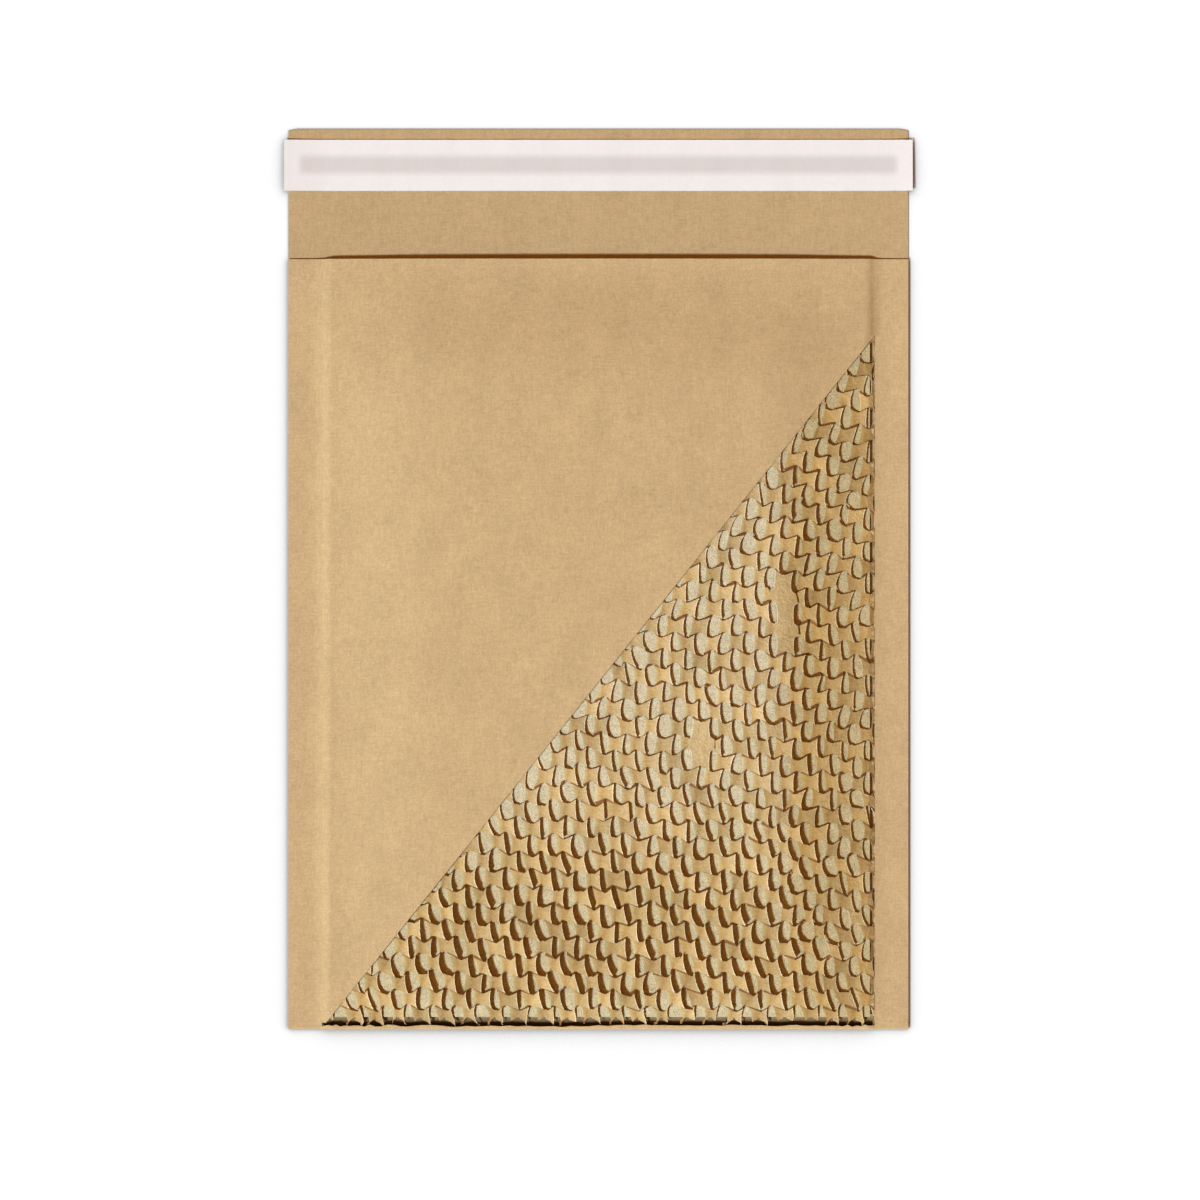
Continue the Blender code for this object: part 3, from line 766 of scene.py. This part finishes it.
def make_pulled_group():
    """Mask for painted shade where the comb is pulled widest open: 1 near the right seam and near the
    fold.
    """
    group, start, end = group_with("pulled_open", (("Place", "Vector", None),), (("Mask", "Float"),))
    split = put(group, "SeparateXYZ", {0: start.outputs["Place"]})
    seam = {"Value": split.outputs[0], "From Min": OPEN_RIGHT_X, "From Max": OPEN_RIGHT_X + OPEN_RUN_X}
    fold = {"Value": split.outputs[1], "From Min": OPEN_BELOW_Y, "From Max": OPEN_BELOW_Y - OPEN_RUN_Y}
    by_seam = put(group, "MapRange", seam, interpolation_type="SMOOTHSTEP").outputs[0]
    by_fold = put(group, "MapRange", fold, interpolation_type="SMOOTHSTEP").outputs[0]
    mask = sums(group, "MAXIMUM", by_seam, sums(group, "MULTIPLY", by_fold, 0.55))
    group.links.new(mask, end.inputs["Mask"])
    return group


def painted_deep_shade(tree, place, paper):
    """The paper with painted shade: darker and browner where the comb is pulled widest open and its cells
    lie deep in shade.
    """
    mask = use_group(tree, pulled_group, {"Place": place}).outputs["Mask"]
    # Painted shade: a brown darkening multiplied into the paper.
    painted_brown = put(tree, "VectorMath", {0: paper, 1: (0.86, 0.80, 0.66)}, operation="MULTIPLY").outputs[0]
    return blended(tree, mask, paper, painted_brown)


def new_surface(name, roughness, specular=0.15):
    """A material with its Principled shader, and its place on the piece in object coordinates."""
    made = bpy.data.materials.new(name)
    made.use_nodes = True
    tree = made.node_tree
    shader = tree.nodes["Principled BSDF"]
    shader.inputs["Roughness"].default_value = roughness
    shader.inputs["Specular IOR Level"].default_value = specular
    place = put(tree, "TexCoord").outputs["Object"]
    return made, tree, shader, place


def use_group(tree, group, values):
    """Places a node group with its inputs filled or linked."""
    made = put(tree, "Group", node_tree=group)
    for key, value in values.items():
        if isinstance(value, bpy.types.NodeSocket):
            tree.links.new(value, made.inputs[key])
        else:
            made.inputs[key].default_value = value
    return made


def shaded(tree, colour, shade):
    """A colour multiplied by a value."""
    scaled = put(tree, "VectorMath", {0: colour, "Scale": shade}, operation="SCALE")
    return scaled.outputs[0]


def make_kraft(name, colour, strokes=0.46, mottle=0.20, bands=0.06, painted_fold_shade=0.0):
    """Brown kraft: fibres, mottling, bands, a few dark and pale flecks, and painted shade in the bottom
    fold if asked.

    The fold argument is the share of painted shade, near-black, laid over the sheet in the bottom fold,
    where its inside lies in shade.
    """
    made, tree, shader, place = new_surface(name, 0.85)
    weave = {"Place": place, "Strokes": strokes, "Mottle": mottle, "Bands": bands}
    fibres = use_group(tree, fibre_group, weave)
    paper = shaded(tree, colour, fibres.outputs["Shade"])
    dark_spread = {"Place": place, "Per metre": 42.0, "Size": 0.040, "Rarity": 0.86}
    pale_spread = {"Place": place, "Per metre": 37.0, "Size": 0.036, "Rarity": 0.84}
    dark = use_group(tree, fleck_group, dark_spread).outputs["Mask"]
    pale = use_group(tree, fleck_group, pale_spread).outputs["Mask"]
    paper = blended(tree, sums(tree, "MULTIPLY", dark, 0.55), paper, (0.20, 0.13, 0.07, 1))
    paper = blended(tree, sums(tree, "MULTIPLY", pale, 0.45), paper, (0.92, 0.80, 0.58, 1))
    # Painted shade: the sheet fades to near-black into the bottom fold.
    if painted_fold_shade:
        up = put(tree, "SeparateXYZ", {0: place}).outputs[1]
        shade_top, shade_foot = BOTTOM_Y + PAINTED_FOLD_SHADE_TO, BOTTOM_Y + PAINTED_FOLD_SHADE_FROM
        into_fold = put(tree, "MapRange", {"Value": up, "From Min": shade_top, "From Max": shade_foot})
        painted_shade_share = sums(tree, "MULTIPLY", into_fold.outputs[0], painted_fold_shade)
        paper = blended(tree, painted_shade_share, paper, (0.012, 0.006, 0.003, 1))
    tree.links.new(paper, shader.inputs["Base Color"])
    bump = put(tree, "Bump", {"Height": fibres.outputs["Height"], "Strength": 0.16, "Distance": 0.0001})
    tree.links.new(bump.outputs[0], shader.inputs["Normal"])
    return made


def make_slit_kraft(name, colours, rim_highlight_colour, painted_crease_colour):
    """Slit paper: greyer where it lies on the liner, with painted shade down its slope and painted light
    at the top, and a painted highlight along its raised cut edges.

    colours are for the foot, two places on the slope, darker as painted shade, and the top of a land,
    paler as painted light. Creases between lands get painted shade. Small crinkles and the fibres raise
    its surface.
    """
    made, tree, shader, place = new_surface(name, 0.85)
    weave = {"Place": place, "Strokes": 0.42, "Mottle": 0.36, "Bands": 0.10}
    fibres = use_group(tree, fibre_group, weave)
    tone = put(tree, "Attribute", attribute_name="tone").outputs["Fac"]
    lift = put(tree, "Attribute", attribute_name="lift").outputs["Fac"]
    painted_rim_highlight = put(tree, "Attribute", attribute_name="painted_rim_highlight").outputs["Fac"]
    painted_crease_shade = put(tree, "Attribute", attribute_name="painted_crease_shade").outputs["Fac"]
    shade = sums(tree, "MULTIPLY_ADD", tone, 0.16, fibres.outputs["Shade"])
    crumple = {"Vector": place, "Scale": 520.0, "Detail": 3.0, "Distortion": 1.2}
    crinkle = put(tree, "TexNoise", crumple).outputs["Fac"]
    # Painted light and shade by height: darker down the slope, paler at the top.
    ramp = put(tree, "ValToRGB", {0: lift})
    for place_on_ramp, colour in zip((0.0, 0.10, 0.32, 0.80), colours):
        step = ramp.color_ramp.elements.new(place_on_ramp)
        step.color = colour
    ramp.color_ramp.elements.remove(ramp.color_ramp.elements[0])
    ramp.color_ramp.elements.remove(ramp.color_ramp.elements[-1])
    # Painted highlight along the raised cut edges.
    rim_reach = {"Value": painted_rim_highlight, "From Min": 0.15, "From Max": 0.85}
    edge = put(tree, "MapRange", rim_reach, interpolation_type="SMOOTHSTEP")
    paper = blended(tree, edge.outputs[0], ramp.outputs[0], rim_highlight_colour)
    # Painted shade in the creases between rows.
    crease_reach = {"Value": painted_crease_shade, "From Min": 0.02, "From Max": 0.55}
    fold = put(tree, "MapRange", crease_reach, interpolation_type="SMOOTHSTEP")
    paper = blended(tree, sums(tree, "MULTIPLY", fold.outputs[0], 0.88), paper, painted_crease_colour)
    tree.links.new(painted_deep_shade(tree, place, shaded(tree, paper, shade)), shader.inputs["Base Color"])
    waves = put(tree, "Bump", {"Height": crinkle, "Strength": 0.50, "Distance": 0.0010})
    grain = {"Height": fibres.outputs["Height"], "Normal": waves.outputs[0]}
    grain.update({"Strength": 0.25, "Distance": 0.0002})
    tree.links.new(put(tree, "Bump", grain).outputs[0], shader.inputs["Normal"])
    return made


def make_tissue(name, colour, speck_colour):
    """Thin greyish tissue: crinkles, fine dark specks all over, and painted shade near the right seam and
    the fold.
    """
    made, tree, shader, place = new_surface(name, 0.9)
    specks = put(tree, "TexNoise", {"Vector": place, "Scale": 2500.0, "Detail": 3.0})
    dots = put(tree, "MapRange", {"Value": specks.outputs["Fac"], "From Min": 0.46, "From Max": 0.66})
    crinkle = put(tree, "TexNoise", {"Vector": place, "Scale": 330.0, "Detail": 4.0, "Distortion": 0.6})
    shade = sums(tree, "MULTIPLY_ADD", sums(tree, "SUBTRACT", crinkle.outputs["Fac"], 0.5), 0.55, 1.0)
    dot_share = sums(tree, "MULTIPLY", dots.outputs[0], 0.60)
    paper = blended(tree, dot_share, shaded(tree, colour, shade), speck_colour)
    # Painted shade where the comb above is pulled widest open.
    tree.links.new(painted_deep_shade(tree, place, paper), shader.inputs["Base Color"])
    bump = put(tree, "Bump", {"Height": crinkle.outputs["Fac"], "Strength": 0.5, "Distance": 0.0008})
    tree.links.new(bump.outputs[0], shader.inputs["Normal"])
    return made


def make_release_paper(name, colour, band_colour):
    """White release paper: fine grain, and the adhesive's soft-edged band showing through it.

    The band's strength is the product of two smooth steps of the distance from its long middle line
    and from its ends.
    """
    made, tree, shader, place = new_surface(name, 0.55, 0.3)
    split = put(tree, "SeparateXYZ", {0: place})
    from_end = sums(tree, "ABSOLUTE", split.outputs[0])
    from_line = sums(tree, "ABSOLUTE", sums(tree, "SUBTRACT", split.outputs[1], BAND_Y))

    def inside(distance, half):
        reach = {"Value": distance, "From Min": half + BAND_SOFT, "From Max": half - BAND_SOFT}
        return put(tree, "MapRange", reach, interpolation_type="SMOOTHSTEP").outputs[0]

    band = sums(tree, "MULTIPLY", inside(from_end, BAND_HALF_LENGTH), inside(from_line, BAND_HALF_WIDTH))
    weave = {"Place": place, "Strokes": 0.060, "Mottle": 0.050, "Bands": 0.0}
    fibres = use_group(tree, fibre_group, weave)
    paper = blended(tree, band, colour, band_colour)
    tree.links.new(shaded(tree, paper, fibres.outputs["Shade"]), shader.inputs["Base Color"])
    grain = put(tree, "TexNoise", {"Vector": place, "Scale": 1500.0, "Detail": 3.0})
    bump = put(tree, "Bump", {"Height": grain.outputs["Fac"], "Strength": 0.18, "Distance": 0.0002})
    tree.links.new(bump.outputs[0], shader.inputs["Normal"])
    return made


def make_glue(name, colour):
    """Dried glue: unevenly spread, cloudy and a little glossy where it is thick."""
    made, tree, shader, place = new_surface(name, 0.4, 0.3)
    clouds = put(tree, "TexNoise", {"Vector": place, "Scale": 260.0, "Detail": 3.0})
    shade = sums(tree, "MULTIPLY_ADD", sums(tree, "SUBTRACT", clouds.outputs["Fac"], 0.5), 0.35, 1.0)
    tree.links.new(shaded(tree, colour, shade), shader.inputs["Base Color"])
    gloss = put(tree, "MapRange", {"Value": clouds.outputs["Fac"], "To Min": 0.6, "To Max": 0.3})
    tree.links.new(gloss.outputs[0], shader.inputs["Roughness"])
    bump = put(tree, "Bump", {"Height": clouds.outputs["Fac"], "Strength": 0.2, "Distance": 0.0002})
    tree.links.new(bump.outputs[0], shader.inputs["Normal"])
    return made


def make_camera():
    """Straight above the middle of the photograph, at a lens that frames its width on the floor."""
    data = bpy.data.cameras.new("camera")
    data.sensor_width = SENSOR_MM
    data.lens = SENSOR_MM * CAMERA_HEIGHT / (PHOTO_PIXELS * METRES_PER_PIXEL)
    camera = bpy.data.objects.new("camera", data)
    x, y = photo_point(PHOTO_PIXELS / 2, PHOTO_PIXELS / 2)
    camera.location = (x, y, CAMERA_HEIGHT)
    bpy.context.scene.collection.objects.link(camera)
    bpy.context.scene.camera = camera


def make_floor():
    """A pale floor. The camera sees it as white, with a light shadow beside the envelope."""
    bpy.ops.mesh.primitive_plane_add(size=6.0, location=(0, 0, -0.0002))
    floor = bpy.context.object
    floor.name = "floor"
    made = bpy.data.materials.new("floor_white")
    made.use_nodes = True
    nodes, links = made.node_tree.nodes, made.node_tree.links
    shader = nodes["Principled BSDF"]
    shader.inputs["Base Color"].default_value = (0.86, 0.86, 0.86, 1.0)
    shader.inputs["Roughness"].default_value = 1.0
    shader.inputs["Specular IOR Level"].default_value = 0.0
    lit = nodes.new("ShaderNodeBsdfDiffuse")
    lit.inputs["Color"].default_value = (0.46, 0.46, 0.46, 1.0)
    glow = nodes.new("ShaderNodeEmission")
    glow.inputs["Color"].default_value = (0.98, 1.0, 1.04, 1.0)
    hidden = nodes.new("ShaderNodeAmbientOcclusion")
    hidden.samples = 8
    hidden.inputs["Distance"].default_value = 0.012
    dimmed = nodes.new("ShaderNodeMapRange")
    dimmed.inputs["From Min"].default_value = 0.70
    dimmed.inputs["To Min"].default_value = 0.0
    links.new(hidden.outputs["AO"], dimmed.inputs["Value"])
    strength = nodes.new("ShaderNodeMath")
    strength.operation = "MULTIPLY"
    strength.inputs[1].default_value = 0.58
    links.new(dimmed.outputs[0], strength.inputs[0])
    links.new(strength.outputs[0], glow.inputs["Strength"])
    seen = nodes.new("ShaderNodeAddShader")
    links.new(lit.outputs[0], seen.inputs[0])
    links.new(glow.outputs[0], seen.inputs[1])
    path = nodes.new("ShaderNodeLightPath")
    either = nodes.new("ShaderNodeMath")
    either.operation = "MAXIMUM"
    mix = nodes.new("ShaderNodeMixShader")
    links.new(path.outputs["Is Camera Ray"], either.inputs[0])
    links.new(path.outputs["Is Glossy Ray"], either.inputs[1])
    links.new(either.outputs[0], mix.inputs["Fac"])
    links.new(shader.outputs[0], mix.inputs[1])
    links.new(seen.outputs[0], mix.inputs[2])
    links.new(mix.outputs[0], nodes["Material Output"].inputs["Surface"])
    floor.data.materials.append(made)


def make_lights():
    """A firm cool key from the lower left, a broad fill from above the mouth, and an even warm sky.

    Together they light a level white surface at about its own colour. The camera sees the sky white.
    """
    lamps = (
        ("key", KEY_STRENGTH, KEY_COLOUR, 9, KEY_TOWARD),
        ("fill", FILL_STRENGTH, SKY_COLOUR, 60, FILL_TOWARD),
    )
    for name, strength, colour, angle, toward in lamps:
        data = bpy.data.lights.new(name, "SUN")
        data.energy = strength
        data.color = colour
        data.angle = math.radians(angle)
        lamp = bpy.data.objects.new(name, data)
        lamp.rotation_euler = Vector(toward).to_track_quat("Z", "Y").to_euler()
        bpy.context.scene.collection.objects.link(lamp)
    world = bpy.data.worlds.new("studio")
    world.use_nodes = True
    nodes, links = world.node_tree.nodes, world.node_tree.links
    nodes["Background"].inputs["Color"].default_value = (*SKY_COLOUR, 1)
    nodes["Background"].inputs["Strength"].default_value = SKY_STRENGTH
    behind = nodes.new("ShaderNodeBackground")
    behind.inputs["Color"].default_value = (1.0, 1.0, 1.0, 1)
    path = nodes.new("ShaderNodeLightPath")
    mix = nodes.new("ShaderNodeMixShader")
    links.new(path.outputs["Is Camera Ray"], mix.inputs["Fac"])
    links.new(nodes["Background"].outputs[0], mix.inputs[1])
    links.new(behind.outputs[0], mix.inputs[2])
    links.new(mix.outputs[0], nodes["World Output"].inputs["Surface"])
    bpy.context.scene.world = world


bpy.context.scene.view_settings.view_transform = "Standard"
make_camera()
make_floor()
make_lights()

fibre_group = make_fibre_group()
fleck_group = make_fleck_group()
pulled_group = make_pulled_group()
kraft = make_kraft("kraft", (0.622, 0.437, 0.228))
# The inner face gets painted shade in the bottom fold.
kraft_inner = make_kraft("kraft_inner", (0.555, 0.385, 0.198), painted_fold_shade=0.92)
# Land colours: a greyer foot, two slope colours darker as painted shade and a paler top as painted light.
slit_tops = (
    (0.61, 0.52, 0.30, 1), (0.57, 0.42, 0.20, 1), (0.50, 0.31, 0.115, 1), (0.655, 0.478, 0.238, 1),
)
# Painted shade: the underside and cut walls are a darker, browner copy of the slit paper, to colour the
# shade under the lands.
painted_shade_unders = ((0.50, 0.23, 0.060, 1),) * 4
# Painted highlight colour for the raised cut edges.
rim_highlight_colour = (0.97, 0.85, 0.64, 1)
# Painted shade colour for the creases.
painted_crease_colour = (0.24, 0.095, 0.026, 1)
slit = make_slit_kraft("slit_kraft", slit_tops, rim_highlight_colour, painted_crease_colour)
slit_under_painted_shade = make_slit_kraft("slit_kraft_painted_shade", painted_shade_unders, rim_highlight_colour, painted_crease_colour)
tissue = make_tissue("tissue", (0.77, 0.675, 0.455), (0.25, 0.16, 0.07, 1))
release = make_release_paper("release_paper", (0.915, 0.880, 0.872, 1), (0.745, 0.690, 0.672, 1))
glue = make_glue("seam_glue", (0.72, 0.64, 0.48))
tack = make_glue("flap_tack", (0.75, 0.69, 0.66))

sheet = make_sheet([kraft, kraft_inner])
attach(sheet, "root")
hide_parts("outer_sheet")

comb = make_comb([slit, slit_under_painted_shade])
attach(comb, "root")
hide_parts("honeycomb_pad_front")

liner = make_liner([tissue])
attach(liner, "root")
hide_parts("inner_liner")

back_comb = make_back_comb([slit, slit_under_painted_shade])
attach(back_comb, "root")
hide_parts("honeycomb_pad_back")

strip = make_release_strip([release])
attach(strip, "root")
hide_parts("release_strip")

for node, surface in (("adhesive_strip", tack), ("seam_glue_left", glue), ("seam_glue_right", glue)):
    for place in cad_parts[node].material_slots:
        place.material = surface
